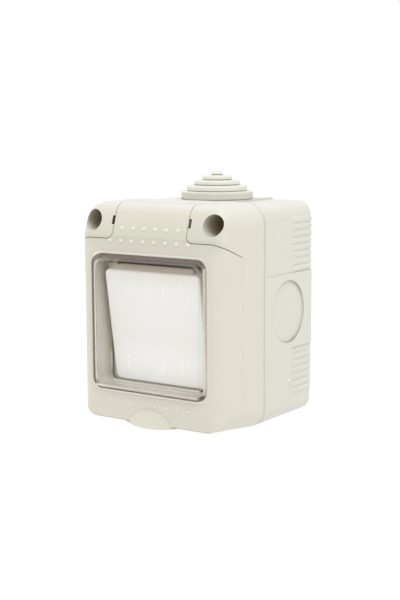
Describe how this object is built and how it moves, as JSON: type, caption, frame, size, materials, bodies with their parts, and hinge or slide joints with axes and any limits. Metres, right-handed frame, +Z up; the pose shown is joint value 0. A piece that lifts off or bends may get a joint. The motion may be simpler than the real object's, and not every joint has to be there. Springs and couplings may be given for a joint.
{
  "type": "outdoor weatherproof switch",
  "caption": "Surface-mounted weatherproof light switch: box with rubber cable grommet, front frame, hinged lid with a clear window over a wide tilting rocker.",
  "frame": {"origin": "centre of the back face that lies on the wall", "axes": "+X to the viewer's right, +Y into the wall, +Z up"},
  "size_m": [0.07, 0.0705, 0.1023],
  "materials": {
    "casing": "warm ivory grey, fine satin moulding",
    "rocker_white": "white, satin gloss",
    "clear_window": "clear flexible film, glossy",
    "grommet_rubber": "pale grey rubber, matt",
    "seal_rubber": "grey rubber, matt",
    "mechanism_plastic": "light grey, matt",
    "nylon": "natural nylon",
    "brass": "stamped brass",
    "contact_silver": "silver contact faces",
    "plated_steel": "zinc plated"
  },
  "bodies": {
    "case": {"back_box": "casing", "front_frame": "casing", "cable_grommet": "grommet_rubber", "box_seal": "seal_rubber", "collar_seal": "seal_rubber", "case_screws": "plated_steel", "module_screws": "plated_steel", "terminal_screws": "plated_steel", "mechanism_housing": "mechanism_plastic", "terminal_plate": "mechanism_plastic", "fixed_rivets": "contact_silver", "upper_terminal": "brass", "lower_terminal": "brass", "common_terminal": "brass"},
    "lid": {"lid": "casing", "window_membrane": "clear_window", "window_retainer": "casing"},
    "rocker": {"rocker": "rocker_white", "plunger_spring": "plated_steel"},
    "plunger": {"plunger": "nylon"},
    "contact": {"moving_contact": "brass", "moving_rivets": "contact_silver"}
  },
  "joints": [
    {"name": "lid_hinge", "type": "hinge", "parent": "case", "child": "lid", "pos_m": [0, -0.0636, 0.03875], "axis": [-1, 0, 0], "range_deg": [0, 100]},
    {"name": "rocker_tilt", "type": "hinge", "parent": "case", "child": "rocker", "pos_m": [0, -0.051, -0.0022], "axis": [-1, 0, 0], "range_deg": [0, 17.44]},
    {"name": "plunger_slide", "type": "slide", "parent": "rocker", "child": "plunger", "axis": [0, -0.9884, -0.1516], "range_m": [0, 0.0008], "stiffness_N_per_m": 800, "deforming": ["plunger_spring"]},
    {"name": "contact_tilt", "type": "hinge", "parent": "case", "child": "contact", "pos_m": [0, -0.03495, -0.0022], "axis": [1, 0, 0], "range_deg": [0, 10]}
  ],
  "couplings": [
    {"joint": "contact_tilt", "follows": "rocker_tilt", "ratio": 0.57338}
  ]
}
